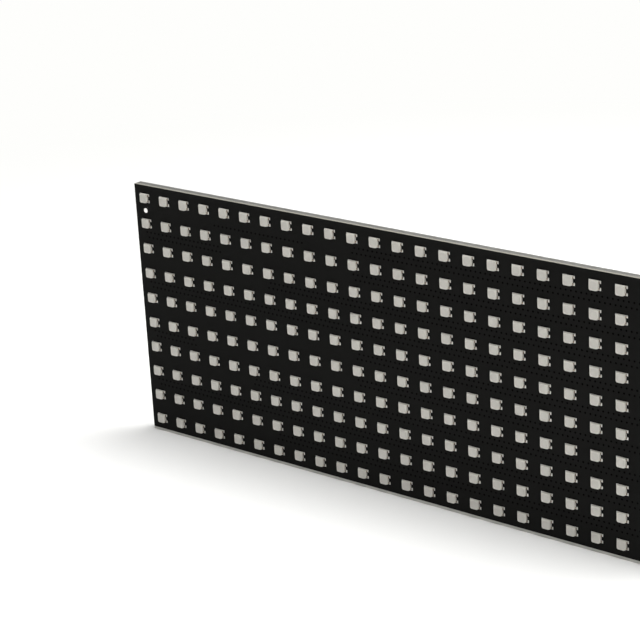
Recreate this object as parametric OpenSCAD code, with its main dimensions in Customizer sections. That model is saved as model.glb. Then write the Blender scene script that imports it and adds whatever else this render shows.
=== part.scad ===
// Bare dot matrix display panel: a black circuit board carries rows and columns of square
// LEDs, and light metal rails on its back stiffen it and hold its mounting spacers. X runs
// across the panel, Z up, and the LEDs face -Y. The origin is the centre of the four mounting
// spacers, on their rear faces. Millimetres.

/* [LED grid] */
// Distance between neighbouring LEDs, across and up
led_pitch = 14; // [12:0.5:18]
// Number of LEDs across the panel
columns = 24; // [18:2:32]
// Number of LEDs up the panel
rows = 10; // [8:1:10]

/* [LED package] */
// Side of the square package at its foot
package_w = 5; // [4.6:0.1:5.4]
// Height of the package's rim above the board
package_h = 1.5; // [1.3:0.1:2]
// Height above the board at which the package's walls start to lean in
package_waist = 0.8; // [0.6:0.05:1]
// How far each wall leans in by the time it reaches the rim
package_draft = 0.1; // [0.02:0.02:0.2]
// Chamfer on the package's marked corner
package_chamfer = 0.9; // [0.3:0.1:1.1]
// Diameter of the reflector cup at the rim
cup_mouth_d = 4.2; // [3.6:0.1:4.3]
// Diameter of the reflector cup at its floor
cup_floor_d = 3.4; // [2.8:0.1:3.5]
// Depth of the reflector cup
cup_depth = 0.9; // [0.5:0.1:0.9]
// How far the clear resin stops below the rim
resin_dip = 0.06; // [0.02:0.02:0.2]

/* [LED leads] */
// Thickness of the lead strip
lead_t = 0.2; // [0.15:0.01:0.25]
// Width of one lead and its solder
lead_w = 1.2; // [0.8:0.1:1.3]
// Distance between the two leads on one side of a package
lead_spacing = 3.1; // [2.8:0.1:3.3]
// Length of the lead's foot under the package
lead_foot = 1; // [0.6:0.1:1.4]
// Thickness of the tinned pads on the board
pad_t = 0.1; // [0.05:0.01:0.15]
// How far the solder spreads past the side of its lead
solder_reach = 0.6; // [0.4:0.05:1]
// Height to which the solder climbs the lead
solder_rise = 0.5; // [0.3:0.05:0.6]

/* [Circuit board] */
// Thickness of the board
board_t = 1.6; // [1.2:0.1:2.4]
// How far the board's lower edge stops short of half a pitch below the last LEDs
board_trim = 0.7; // [0.4:0.1:1.5]
// Diameter of the bright alignment dots in two corners
fiducial_d = 2.6; // [1.5:0.1:3]

/* [Rails] */
// Depth of the rails behind the board
rail_depth = 3.2; // [2.8:0.1:5]
// Width of the top, bottom and end rails
rail_w = 10; // [9:0.5:14]
// Width of the two cross bars
crossbar_w = 9; // [8:0.5:14]
// Number of LEDs between the panel's middle and each cross bar
crossbar_columns = 4; // [3:1:5]
// Thickness of the ledge under the board's lower edge
ledge_t = 1.4; // [1:0.1:3]
// Clearance between the board's lower edge and the ledge
ledge_gap = 0.05; // [0.02:0.01:0.2]
// Clearance between the ends of upright rails and the rails they meet
rail_end_gap = 0.1; // [0.05:0.05:0.5]

/* [Rail fixings] */
// Number of screws along the top and bottom rails
fixings_across = 6; // [4:2:8]
// Distance from the panel's end to the outermost of these screws
fixing_inset = 28; // [26:1:34]
// Distance from each end of an upright rail to its nearer screw
upright_inset = 30; // [24:1:40]
// Outer diameter of the nuts soldered to the board
nut_d = 4.2; // [4:0.1:5]
// Height of these nuts
nut_h = 1.5; // [1.2:0.1:1.8]
// Thread diameter of the fixing screws
screw_d = 2; // [1.6:0.1:2.5]
// Head diameter of the fixing screws
screw_head_d = 3.8; // [3.6:0.1:4.5]
// Head height of the fixing screws
screw_head_h = 1.3; // [1:0.1:1.6]
// Depth of the cross recess in a screw head
recess_depth = 0.7; // [0.4:0.1:0.8]
// Radial clearance of a nut in its pocket, and of a screw in its hole
fixing_clearance = 0.15; // [0.1:0.05:0.3]
// Radial clearance between a thread and the hole that it is screwed into
thread_clearance = 0.02; // [0.01:0.01:0.05]

/* [Mounting spacers] */
// Length of the spacers behind the rails
spacer_len = 8; // [7.5:0.5:20]
// Distance across the flats of a spacer
spacer_flats = 5.5; // [5:0.5:7]
// Diameter of the threaded hole in a spacer's rear face
spacer_hole_d = 2.5; // [2.5:0.1:3.3]
// Depth of that hole
spacer_hole_depth = 6; // [4:0.5:7]
// Diameter of the stud that holds a spacer in its rail
stud_d = 3; // [2.5:0.1:3.5]
// Distance from the panel's end to a spacer's axis
spacer_inset = 15; // [14:1:18]
// Distance from the inner edge of the top or bottom rail to a spacer's axis
spacer_edge = 3; // [2.9:0.1:5]

/* [Driver chips] */
// Length of a driver chip's body
driver_len = 13; // [12.5:0.1:14]
// Width of a driver chip's body
driver_w = 6; // [5:0.1:7.5]
// Number of leads along one side of a driver chip
driver_leads = 12; // [8:1:12]
// Distance between the two driver chips in a bay
driver_spacing = 46; // [30:1:50]
// Height of the row of driver chips above the panel's middle
driver_z = 22; // [20:1:30]

/* [Logic chips] */
// Width of the bodies of the row switches and the decoder
logic_w = 3.9; // [3.8:0.1:4.2]
// Length of a row switch's body
switch_len = 4.9; // [4.8:0.1:5.2]
// Distance between the row switches
switch_spacing = 13; // [10:1:16]
// Length of the decoder's body
decoder_len = 9.9; // [9.8:0.1:10.4]
// Length of a buffer chip's body
buffer_len = 12.7; // [12.6:0.1:13.2]
// Width of a buffer chip's body
buffer_w = 5.3; // [5:0.1:6]
// Depth of the row of logic chips below the panel's middle
logic_z = 14; // [10:1:16]

/* [All chips] */
// Height of a chip's body above the board
chip_h = 1.75; // [1.5:0.05:2]
// Gap between a chip's body and the board
chip_gap = 0.15; // [0.1:0.05:0.2]
// How far a chip's walls lean in above and below its leads
chip_draft = 0.12; // [0.04:0.02:0.2]
// How far the leads reach out on each side of a chip
chip_lead_reach = 1.05; // [0.9:0.05:1.2]
// Length of the foot of a chip lead
chip_lead_foot = 0.45; // [0.3:0.05:0.6]
// Thickness of a chip lead
chip_lead_t = 0.2; // [0.15:0.01:0.25]
// Width of a chip lead
chip_lead_w = 0.4; // [0.3:0.01:0.5]

/* [Connectors] */
// Distance between neighbouring header pins
pin_pitch = 2.54; // [2:0.01:2.54]
// Number of pins in each of a header's two rows
header_pins = 8; // [5:1:8]
// Side of a square header pin
pin_w = 0.64; // [0.5:0.01:0.7]
// Height of the pins above the board
pin_h = 9.2; // [8:0.1:10]
// Height of the header block's underside above the board
header_lift = 0.9; // [0.6:0.1:1.2]
// Gap between an end rail and the pins' feet
header_gap = 5; // [2:0.5:8]
// Distance between the two poles of the power terminal
pole_pitch = 5.08; // [5:0.04:5.2]
// Height of the power terminal above the board
terminal_h = 10; // [8:0.1:10.5]
// Depth of the power terminal, from its wire side to its back
terminal_w = 8; // [7.5:0.1:9]
// Room for the wires between the power terminal and the bottom rail
wire_room = 12; // [8:1:16]

/* [Capacitors] */
// Diameter of a storage capacitor's can
can_d = 8; // [6.3:0.1:8]
// Height of a storage capacitor above the board
can_h = 10.2; // [7:0.1:10.5]
// Height of the plastic base under a can
can_base_h = 1.1; // [0.8:0.1:1.4]
// Distance from the panel's middle to the storage capacitors that flank the power terminal
can_x = 22; // [18:1:28]
// Length of a chip capacitor or resistor
chip_part_len = 2; // [1.6:0.1:2.2]
// Width of a chip capacitor or resistor
chip_part_w = 1.25; // [0.8:0.05:1.4]
// Height of a chip capacitor
chip_cap_h = 0.85; // [0.6:0.05:1.2]
// Height of a chip resistor
chip_res_h = 0.5; // [0.35:0.05:0.6]

/* [Hidden] */
$fn = 48;
// Overlap by which a cutter passes a face, so that no film is left
over = 0.5;

// Where the layers lie, from the mounting plane at the back to the LEDs at the front
rail_back = -spacer_len;
board_back = rail_back - rail_depth;
board_front = board_back - board_t;

// Outline of the panel
panel_w = columns * led_pitch;
grid_half = rows * led_pitch / 2;
board_top = grid_half;
board_bottom = -grid_half + board_trim;
ledge_top = board_bottom - ledge_gap;
rail_bottom_z = ledge_top - ledge_t;
upright_top = board_top - rail_w - rail_end_gap;
upright_bottom = -grid_half + rail_w + rail_end_gap;
rail_line = grid_half - rail_w / 2;
crossbar_x = crossbar_columns * led_pitch;
fixing_z = grid_half - rail_w - upright_inset;
terminal_z = grid_half - rail_w - wire_room - terminal_w / 2;
header_x = panel_w / 2 - rail_w - header_gap - 2 * pin_pitch;

// Mounting spacers
spacer_x = panel_w / 2 - spacer_inset;
spacer_z = grid_half - rail_w + spacer_edge;

// Screws along the top and bottom rails, evenly spaced between the outermost two
fixing_step = (panel_w - 2 * fixing_inset) / (fixings_across - 1);
rail_fixing_x = [for (i = [0 : fixings_across - 1]) -panel_w / 2 + fixing_inset + i * fixing_step];
end_rail_x = panel_w / 2 - rail_w / 2;
upright_x = [-end_rail_x, -crossbar_x, crossbar_x, end_rail_x];
fixings = concat(
    [for (x = rail_fixing_x, side = [-1, 1]) [x, side * rail_line]],
    [for (x = upright_x, side = [-1, 1]) [x, side * fixing_z]]
);
spacers = [for (x = [-1, 1], z = [-1, 1]) [x * spacer_x, z * spacer_z]];

// Bays between the upright rails, and what stands in them, seen from behind
bay_x = (crossbar_x + end_rail_x) / 2;
bays = [-bay_x, 0, bay_x];
drivers = [for (b = bays, side = [-1, 1]) [b + side * driver_spacing / 2, driver_z]];
switches = [for (i = [-2 : 2]) [i * switch_spacing, -logic_z]];
buffers = [[-bay_x, -logic_z], [bay_x, -logic_z]];
decoder = [bay_x - 2 * switch_spacing, -logic_z];
cans = [[-can_x, -terminal_z], [can_x, -terminal_z], [-bay_x, -terminal_z]];
logic_pitch = 1.27;
driver_pitch = 1;

// Middle of a row or a column of LEDs
function column_x(c) = (c - (columns - 1) / 2) * led_pitch;
function row_z(r) = ((rows - 1) / 2 - r) * led_pitch;

function row_name(kind, r) = str(kind, "_row_", r < 9 ? "0" : "", r + 1);

// Puts children on the board's front: x across, y up the panel, z out towards the viewer
module on_front() {
    translate([0, board_front, 0]) rotate([90, 0, 0]) children();
}

// Puts children on the board's back, seen from behind: x to the right, y up, z outwards
module on_back() {
    translate([0, board_back, 0]) rotate([90, 0, 180]) children();
}

// Extrudes a profile drawn in x and z along y, centred
module along_y(len) {
    rotate([90, 0, 0]) linear_extrude(len, center = true) children();
}

// Extrudes a profile drawn in y and z along x, centred
module along_x(len) {
    rotate([90, 0, 90]) linear_extrude(len, center = true) children();
}

// ---- LEDs ----

module housing_profile() {
    foot = package_w / 2;
    rim = foot - package_draft;
    polygon([
        [-foot, lead_t], [foot, lead_t], [foot, package_waist],
        [rim, package_h], [-rim, package_h], [-foot, package_waist]
    ]);
}

module housing_outline() {
    h = package_w / 2;
    polygon([[-h, -h], [h - package_chamfer, -h], [h, -h + package_chamfer], [h, h], [-h, h]]);
}

// Moulded housing of one LED, with its open reflector cup
module housing() {
    difference() {
        intersection() {
            along_y(package_w) housing_profile();
            along_x(package_w) housing_profile();
            linear_extrude(package_h) housing_outline();
        }
        translate([0, 0, package_h - cup_depth])
            cylinder(h = cup_depth, d1 = cup_floor_d, d2 = cup_mouth_d);
    }
}

// Clear resin that fills the reflector cup
module lens() {
    resin_d = cup_mouth_d - (cup_mouth_d - cup_floor_d) * resin_dip / cup_depth;
    translate([0, 0, package_h - cup_depth])
        cylinder(h = cup_depth - resin_dip, d1 = cup_floor_d, d2 = resin_d);
}

// Lead strip bent down the housing's wall and under it, in one with the solder at its foot
module lead() {
    wall = package_w / 2;
    outside = wall + lead_t;
    along_y(lead_w) polygon([
        [wall - lead_foot, 0], [outside + solder_reach, 0], [outside + solder_reach, pad_t],
        [outside, solder_rise], [outside, package_waist], [wall, package_waist],
        [wall, lead_t], [wall - lead_foot, lead_t]
    ]);
}

// The four places of an LED's leads
module at_leads() {
    for (side = [-1, 1], turn = [0, 180])
        rotate([0, 0, turn]) translate([0, side * lead_spacing / 2, 0]) children();
}

// Every LED of one row
module along_row(r) {
    on_front() for (c = [0 : columns - 1]) translate([column_x(c), row_z(r), 0]) children();
}

module housings(r) {
    color("gainsboro") along_row(r) housing();
}

module lenses(r) {
    color("silver") along_row(r) lens();
}

module leads(r) {
    color("darkgray") along_row(r) at_leads() lead();
}

// ---- Board ----

module circuit_board() {
    color("#1c1c1c") translate([-panel_w / 2, board_front, board_bottom])
        cube([panel_w, board_t, board_top - board_bottom]);
}

// Tinned dots between the first two and the last two LEDs of opposite corners
module alignment_dots() {
    color("white") on_front() for (turn = [0, 180])
        rotate([0, 0, turn]) translate([column_x(0), row_z(0.5), 0])
            cylinder(h = pad_t, d = fiducial_d);
}

// ---- Rails ----

module fixing_hole() {
    cylinder(h = 2 * nut_h + 2 * fixing_clearance, d = nut_d + 2 * fixing_clearance, center = true);
    cylinder(h = rail_depth + over, d = screw_d + 2 * fixing_clearance);
}

module spacer_hole() {
    translate([0, 0, -over]) cylinder(h = rail_depth + 2 * over, d = stud_d + 2 * thread_clearance);
}

// Everything drilled through the rails, cut from whatever rail it meets
module rail_holes(fixing_places, spacer_places) {
    on_back() {
        for (p = fixing_places) translate([p[0], p[1], 0]) fixing_hole();
        for (p = spacer_places) translate([p[0], p[1], 0]) spacer_hole();
    }
}

module top_rail() {
    color("silver") difference() {
        translate([-panel_w / 2, board_back, board_top - rail_w]) cube([panel_w, rail_depth, rail_w]);
        rail_holes([for (x = rail_fixing_x) [x, rail_line]], [for (s = [-1, 1]) [s * spacer_x, spacer_z]]);
    }
}

// Angle section: its ledge runs under the board's lower edge, flush with the board's front
module bottom_rail() {
    plate_top = -grid_half + rail_w;
    color("silver") difference() {
        along_x(panel_w) polygon([
            [rail_back, rail_bottom_z], [rail_back, plate_top], [board_back, plate_top],
            [board_back, ledge_top], [board_front, ledge_top], [board_front, rail_bottom_z]
        ]);
        rail_holes([for (x = rail_fixing_x) [x, -rail_line]], [for (s = [-1, 1]) [s * spacer_x, -spacer_z]]);
    }
}

module upright(x, w) {
    color("silver") difference() {
        translate([x - w / 2, board_back, upright_bottom])
            cube([w, rail_depth, upright_top - upright_bottom]);
        rail_holes([for (s = [-1, 1]) [-x, s * fixing_z]], []);
    }
}

module left_end_rail() {
    upright(-end_rail_x, rail_w);
}

module right_end_rail() {
    upright(end_rail_x, rail_w);
}

module left_crossbar() {
    upright(-crossbar_x, crossbar_w);
}

module right_crossbar() {
    upright(crossbar_x, crossbar_w);
}

// ---- Fixings ----

// Threaded rings soldered to the board inside the rails' pockets
module board_nuts() {
    color("khaki") on_back() for (p = fixings) translate([p[0], p[1], 0]) difference() {
        cylinder(h = nut_h, d = nut_d);
        translate([0, 0, -over]) cylinder(h = nut_h + 2 * over, d = screw_d + 2 * thread_clearance);
    }
}

module screw() {
    slot_w = screw_d / 4;
    slot_len = screw_head_d * 0.6;
    edge = screw_head_h / 3;
    difference() {
        union() {
            cylinder(h = screw_head_h - edge, d = screw_head_d);
            translate([0, 0, screw_head_h - edge])
                cylinder(h = edge, d1 = screw_head_d, d2 = screw_head_d - 2 * edge);
            translate([0, 0, -rail_depth + fixing_clearance])
                cylinder(h = rail_depth - fixing_clearance, d = screw_d);
        }
        for (turn = [0, 90]) rotate([0, 0, turn])
            translate([-slot_len / 2, -slot_w / 2, screw_head_h - recess_depth])
                cube([slot_len, slot_w, recess_depth + over]);
    }
}

module rail_screws() {
    color("silver") on_back() for (p = fixings) translate([p[0], p[1], rail_depth]) screw();
}

module mounting_spacers() {
    color("goldenrod") on_back() for (p = spacers) translate([p[0], p[1], rail_depth]) difference() {
        union() {
            cylinder(h = spacer_len, d = spacer_flats / cos(30), $fn = 6);
            translate([0, 0, -rail_depth + fixing_clearance]) cylinder(h = rail_depth, d = stud_d);
        }
        translate([0, 0, spacer_len - spacer_hole_depth])
            cylinder(h = spacer_hole_depth + over, d = spacer_hole_d);
    }
}

// ---- Chips ----

chip_mid = (chip_h + chip_gap) / 2;

module chip_profile(w) {
    h = w / 2;
    polygon([
        [-h + chip_draft, chip_gap], [h - chip_draft, chip_gap], [h, chip_mid],
        [h - chip_draft, chip_h], [-h + chip_draft, chip_h], [-h, chip_mid]
    ]);
}

// Moulded chip body, long way across, with the dimple that marks its first lead
module chip_body(len, w) {
    dimple_d = w / 6;
    difference() {
        intersection() {
            along_y(w) chip_profile(len);
            along_x(len) chip_profile(w);
        }
        translate([-len / 2 + 2 * dimple_d, -w / 2 + 1.5 * dimple_d, chip_h - chip_draft])
            cylinder(h = over, d = dimple_d);
    }
}

// Gull-wing leads along both long sides of a chip
module chip_leads(w, count, pitch) {
    side = w / 2;
    tip = side + chip_lead_reach;
    knee = tip - chip_lead_foot;
    low = chip_mid - chip_lead_t / 2;
    high = chip_mid + chip_lead_t / 2;
    for (turn = [0, 180], i = [0 : count - 1])
        rotate([0, 0, turn]) translate([(i - (count - 1) / 2) * pitch, 0, 0])
            along_x(chip_lead_w) polygon([
                [side, low], [knee, 0], [tip, 0], [tip, chip_lead_t],
                [knee + chip_lead_t / 2, chip_lead_t], [side, high]
            ]);
}

module driver_chips() {
    color("#2b2b2b") on_back() for (p = drivers) translate([p[0], p[1], 0])
        chip_body(driver_len, driver_w);
}

module driver_chip_leads() {
    color("silver") on_back() for (p = drivers) translate([p[0], p[1], 0])
        chip_leads(driver_w, driver_leads, driver_pitch);
}

module logic_chips() {
    color("#2b2b2b") on_back() {
        for (p = switches) translate([p[0], p[1], 0]) chip_body(switch_len, logic_w);
        for (p = buffers) translate([p[0], p[1], 0]) chip_body(buffer_len, buffer_w);
        translate([decoder[0], decoder[1], 0]) chip_body(decoder_len, logic_w);
    }
}

module logic_chip_leads() {
    color("silver") on_back() {
        for (p = switches) translate([p[0], p[1], 0]) chip_leads(logic_w, 4, logic_pitch);
        for (p = buffers) translate([p[0], p[1], 0]) chip_leads(buffer_w, 10, logic_pitch);
        translate([decoder[0], decoder[1], 0]) chip_leads(logic_w, 8, logic_pitch);
    }
}

// ---- Connectors ----

header_len = header_pins * pin_pitch;
block_h = pin_pitch;
block_corner = pin_pitch / 5;

module at_header_pins() {
    for (turn = [0, 180], i = [0 : header_pins - 1])
        rotate([0, 0, turn]) translate([pin_pitch / 2, (i - (header_pins - 1) / 2) * pin_pitch, 0])
            children();
}

// Insulating block of a two-row pin header, notched between neighbouring pins
module header_block() {
    difference() {
        translate([-pin_pitch, -header_len / 2, header_lift]) cube([2 * pin_pitch, header_len, block_h]);
        for (side = [-1, 1], i = [0 : header_pins])
            translate([side * pin_pitch, (i - header_pins / 2) * pin_pitch, header_lift - over])
                rotate([0, 0, 45])
                    translate([-block_corner / 2, -block_corner / 2, 0])
                        cube([block_corner, block_corner, block_h + 2 * over]);
        at_header_pins() translate([-pin_w / 2, -pin_w / 2, 0]) cube([pin_w, pin_w, pin_h]);
    }
}

// Square pins, each bent outwards into a foot on the board
module header_pin() {
    foot_end = 2 * pin_pitch;
    along_y(pin_w) polygon([
        [-pin_w / 2, 0], [foot_end - pin_pitch / 2, 0], [foot_end - pin_pitch / 2, pin_w],
        [pin_w / 2, pin_w], [pin_w / 2, pin_h], [-pin_w / 2, pin_h]
    ]);
}

module at_header(side) {
    on_back() translate([side * header_x, 0, 0]) children();
}

module data_in_block() {
    color("#222222") at_header(1) header_block();
}

module data_in_pins() {
    color("gold") at_header(1) at_header_pins() header_pin();
}

module data_out_block() {
    color("#222222") at_header(-1) header_block();
}

module data_out_pins() {
    color("gold") at_header(-1) at_header_pins() header_pin();
}

terminal_foot_t = 0.6;
wire_hole = pole_pitch * 0.6;
wire_hole_z = terminal_foot_t + pole_pitch / 3;
terminal_screw_d = pole_pitch * 0.7;
terminal_screw_z = wire_hole_z + wire_hole - over;

// Two-pole screw terminal: wires enter from below, screws face backwards
module power_terminal() {
    w = terminal_w;
    lean = w / 5;
    color("seagreen") on_back() translate([0, -terminal_z, 0]) difference() {
        rotate([90, 0, 90]) linear_extrude(2 * pole_pitch, center = true) polygon([
            [-w / 2, terminal_foot_t], [w / 2, terminal_foot_t], [w / 2, terminal_h - 2 * lean],
            [w / 2 - lean, terminal_h], [-w / 2 + lean / 2, terminal_h], [-w / 2, terminal_h - lean]
        ]);
        for (side = [-1, 1]) translate([side * pole_pitch / 2, 0, 0]) {
            translate([-wire_hole / 2, -w / 2 - over, wire_hole_z])
                cube([wire_hole, w / 2 + over, wire_hole]);
            translate([0, 0, terminal_screw_z])
                cylinder(h = terminal_h - terminal_screw_z + over, d = terminal_screw_d);
        }
    }
}

module terminal_screws() {
    d = terminal_screw_d - 2 * fixing_clearance;
    head = (terminal_h - terminal_screw_z) / 2;
    color("silver") on_back() for (side = [-1, 1])
        translate([side * pole_pitch / 2, -terminal_z, terminal_screw_z]) difference() {
            cylinder(h = head, d = d);
            translate([-d / 2 - over, -d / 10, head * 0.6]) cube([d + 2 * over, d / 5, head]);
        }
}

module terminal_feet() {
    foot_w = pole_pitch / 3;
    color("silver") on_back() for (side = [-1, 1])
        translate([side * pole_pitch / 2 - foot_w / 2, -terminal_z, 0])
            cube([foot_w, terminal_w / 2 + foot_w, terminal_foot_t]);
}

// ---- Capacitors and resistors ----

// Aluminium can with the rolled groove above its base and a rounded shoulder
module capacitor_can() {
    r = can_d / 2;
    groove = can_base_h + can_d / 5;
    shoulder = can_d / 16;
    rotate_extrude() polygon(concat(
        [[0, can_base_h], [r, can_base_h], [r, groove - shoulder], [r - shoulder / 2, groove],
         [r, groove + shoulder]],
        [for (a = [0 : 30 : 90]) [r - shoulder + shoulder * cos(a), can_h - shoulder + shoulder * sin(a)]],
        [[0, can_h]]
    ));
}

module capacitor_base() {
    h = can_d / 2 + 0.15;
    cut = can_d / 5;
    linear_extrude(can_base_h) polygon([
        [-h, -h], [h - cut, -h], [h, -h + cut], [h, h - cut], [h - cut, h], [-h, h]
    ]);
}

module capacitor_cans() {
    color("silver") on_back() for (p = cans) translate([p[0], p[1], 0]) capacitor_can();
}

module capacitor_bases() {
    color("#222222") on_back() for (p = cans) translate([p[0], p[1], 0]) capacitor_base();
}

// Ceramic block with its two tinned end caps
module chip_part(h) {
    cap = chip_part_len / 5;
    lip = 0.03;
    translate([-chip_part_len / 2 + cap, -chip_part_w / 2 + lip, lip])
        cube([chip_part_len - 2 * cap, chip_part_w - 2 * lip, h - 2 * lip]);
    for (side = [-1, 1]) translate([side * (chip_part_len - cap) / 2 - cap / 2, -chip_part_w / 2, 0])
        cube([cap, chip_part_w, h]);
}

chip_part_gap = driver_w / 2 + chip_lead_reach + 1.5 * chip_part_len;

module bypass_capacitors() {
    color("tan") on_back() {
        for (p = drivers) translate([p[0] - chip_part_len, p[1] + chip_part_gap, 0]) chip_part(chip_cap_h);
        for (p = buffers) translate([p[0], p[1] + chip_part_gap, 0]) chip_part(chip_cap_h);
    }
}

module set_resistors() {
    color("#333333") on_back() for (p = drivers)
        translate([p[0] + chip_part_len, p[1] + chip_part_gap, 0]) chip_part(chip_res_h);
}

circuit_board();
alignment_dots();
top_rail();
bottom_rail();
left_end_rail();
right_end_rail();
left_crossbar();
right_crossbar();
board_nuts();
rail_screws();
mounting_spacers();
for (r = [0 : rows - 1]) housings(r);
for (r = [0 : rows - 1]) lenses(r);
for (r = [0 : rows - 1]) leads(r);
driver_chips();
driver_chip_leads();
logic_chips();
logic_chip_leads();
data_in_block();
data_in_pins();
data_out_block();
data_out_pins();
power_terminal();
terminal_screws();
terminal_feet();
capacitor_cans();
capacitor_bases();
bypass_capacitors();
set_resistors();
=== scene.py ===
"""Bare dot matrix display panel: square surface-mount LEDs in rows on a black circuit board,
stiffened from behind by light metal rails that carry its mounting spacers."""
import math

import bmesh
import bpy
from mathutils import Matrix, Vector


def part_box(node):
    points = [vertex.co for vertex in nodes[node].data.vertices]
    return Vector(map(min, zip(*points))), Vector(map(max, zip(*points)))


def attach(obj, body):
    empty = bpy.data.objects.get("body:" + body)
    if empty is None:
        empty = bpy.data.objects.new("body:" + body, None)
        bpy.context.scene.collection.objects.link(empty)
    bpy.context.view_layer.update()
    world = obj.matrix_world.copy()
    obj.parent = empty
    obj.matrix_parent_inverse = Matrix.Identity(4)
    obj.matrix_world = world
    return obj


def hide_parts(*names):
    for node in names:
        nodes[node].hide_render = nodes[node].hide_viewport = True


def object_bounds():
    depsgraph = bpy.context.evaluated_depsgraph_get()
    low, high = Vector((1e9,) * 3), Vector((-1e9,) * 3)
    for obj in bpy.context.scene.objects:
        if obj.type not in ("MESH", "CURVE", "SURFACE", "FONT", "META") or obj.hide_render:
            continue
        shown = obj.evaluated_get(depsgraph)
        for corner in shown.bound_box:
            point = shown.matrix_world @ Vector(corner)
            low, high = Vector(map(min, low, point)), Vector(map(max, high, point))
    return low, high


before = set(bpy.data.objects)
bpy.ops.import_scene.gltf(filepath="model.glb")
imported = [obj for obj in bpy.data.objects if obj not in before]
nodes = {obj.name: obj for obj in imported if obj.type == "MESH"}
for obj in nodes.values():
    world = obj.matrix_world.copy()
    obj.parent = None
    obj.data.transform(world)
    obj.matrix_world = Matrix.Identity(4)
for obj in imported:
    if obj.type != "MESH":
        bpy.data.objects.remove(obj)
cad_size = [list(corner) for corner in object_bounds()]


# ---------------------------------------------------------------- camera
# The panel is seen from its right and a little above through a long lens, and the camera is
# tipped a few degrees about its own axis, so the panel leans in the picture.
lens = bpy.data.cameras.new("long_lens")
lens.lens = 122.4
lens.sensor_width = 36.0
lens.clip_end = 50.0
camera = bpy.data.objects.new("camera", lens)
bpy.context.scene.collection.objects.link(camera)
bpy.context.scene.camera = camera
backward = Vector((0.606378, -0.720363, 0.336732)).normalized()
rightward = Vector((0.77593, 0.62870, -0.05161))
upward = backward.cross(rightward).normalized()
rightward = upward.cross(backward)
camera.matrix_world = Matrix((
    (rightward.x, upward.x, backward.x, 0.62227),
    (rightward.y, upward.y, backward.y, -0.80480),
    (rightward.z, upward.z, backward.z, 0.38597),
    (0.0, 0.0, 0.0, 1.0),
))


# ---------------------------------------------------------------- table and backdrop
# The panel stands on its lower rail on a sheet of white card that curves up behind it. The
# card is matt and lit close to white, so only the soft shadow at the panel's foot shows.
def linear(colour):
    """A colour written as sRGB hex, in the linear values that a shader takes."""
    parts = [int(colour[i:i + 2], 16) / 255 for i in (1, 3, 5)]
    return [p / 12.92 if p <= 0.04045 else ((p + 0.055) / 1.055) ** 2.4 for p in parts] + [1.0]


def add(tree, kind, inputs=None, **settings):
    """Adds one shader node, with its settings, its plain values and the sockets that feed it."""
    made = tree.nodes.new(kind)
    for name, value in settings.items():
        setattr(made, name, value)
    for name, value in (inputs or {}).items():
        if isinstance(value, bpy.types.NodeSocket):
            tree.links.new(value, made.inputs[name])
        else:
            made.inputs[name].default_value = value
    return made


def surface(name, **values):
    """Starts a finish as one Principled surface with plain values, and returns its parts."""
    finish = bpy.data.materials.new(name)
    finish.use_nodes = True
    tree = finish.node_tree
    tree.nodes.clear()
    shader = add(tree, "ShaderNodeBsdfPrincipled", {k.replace("_", " "): v for k, v in values.items()})
    add(tree, "ShaderNodeOutputMaterial", {"Surface": shader.outputs["BSDF"]})
    return finish, tree, shader


def closed_mesh(name, points, faces, smooth):
    """A mesh from points and faces in metres, with every face turned outwards."""
    mesh = bpy.data.meshes.new(name)
    mesh.from_pydata(points, [], faces)
    flags = [smooth] * len(faces) if isinstance(smooth, bool) else smooth
    mesh.polygons.foreach_set("use_smooth", flags)
    skin = bmesh.new()
    skin.from_mesh(mesh)
    bmesh.ops.recalc_face_normals(skin, faces=skin.faces)
    skin.to_mesh(mesh)
    skin.free()
    mesh.update()
    return mesh


def mesh_piece(name, points, faces, smooth=True):
    """An object of its own with such a mesh."""
    piece = bpy.data.objects.new(name, closed_mesh(name, points, faces, smooth))
    bpy.context.scene.collection.objects.link(piece)
    return piece


foot_z = cad_size[0][2]
card_front, card_back, card_top, card_half_w = -3.0, 2.0, 4.0, 4.5
sweep_r, sweep_steps = 1.2, 16
profile = [(card_front, 0.0), (card_back, 0.0)]
for step in range(1, sweep_steps + 1):
    angle = math.pi / 2 * step / sweep_steps
    profile.append((card_back + sweep_r * math.sin(angle), sweep_r - sweep_r * math.cos(angle)))
profile.append((card_back + sweep_r, card_top))
points = [(x, y, foot_z + z) for y, z in profile for x in (-card_half_w, card_half_w)]
faces = [(2 * i, 2 * i + 1, 2 * i + 3, 2 * i + 2) for i in range(len(profile) - 1)]
table = mesh_piece("white_card_sweep", points, faces)
card, tree, shader = surface(
    "matt_white_card", Base_Color=linear("#F7F7F5"), Roughness=0.9, Specular_IOR_Level=0.2,
)
# What the camera sees of the card is lifted a little near the panel, where the shadow lies. It
# turns to the even white of the room between 0.3 and 0.8 m from the panel's middle.
seen = add(tree, "ShaderNodeLightPath")
lift = add(tree, "ShaderNodeMath", {0: seen.outputs["Is Camera Ray"], 1: 0.06}, operation="MULTIPLY")
tree.links.new(lift.outputs[0], shader.inputs["Emission Strength"])
at = add(tree, "ShaderNodeTexCoord").outputs["Object"]
away = add(tree, "ShaderNodeVectorMath", {0: at}, operation="LENGTH")
far = add(tree, "ShaderNodeMapRange", {
    "Value": away.outputs["Value"], "From Min": 0.3, "From Max": 0.8,
}, interpolation_type="SMOOTHSTEP")
blank = add(tree, "ShaderNodeMath", {
    0: far.outputs["Result"], 1: seen.outputs["Is Camera Ray"],
}, operation="MULTIPLY")
glow = add(tree, "ShaderNodeEmission", {"Color": linear("#FEFEFC"), "Strength": 1.0})
sheet = add(tree, "ShaderNodeMixShader", {
    0: blank.outputs[0], 1: shader.outputs["BSDF"], 2: glow.outputs["Emission"],
})
out = next(node for node in tree.nodes if node.type == "OUTPUT_MATERIAL")
tree.links.new(sheet.outputs[0], out.inputs["Surface"])
table.data.materials.append(card)


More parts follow.
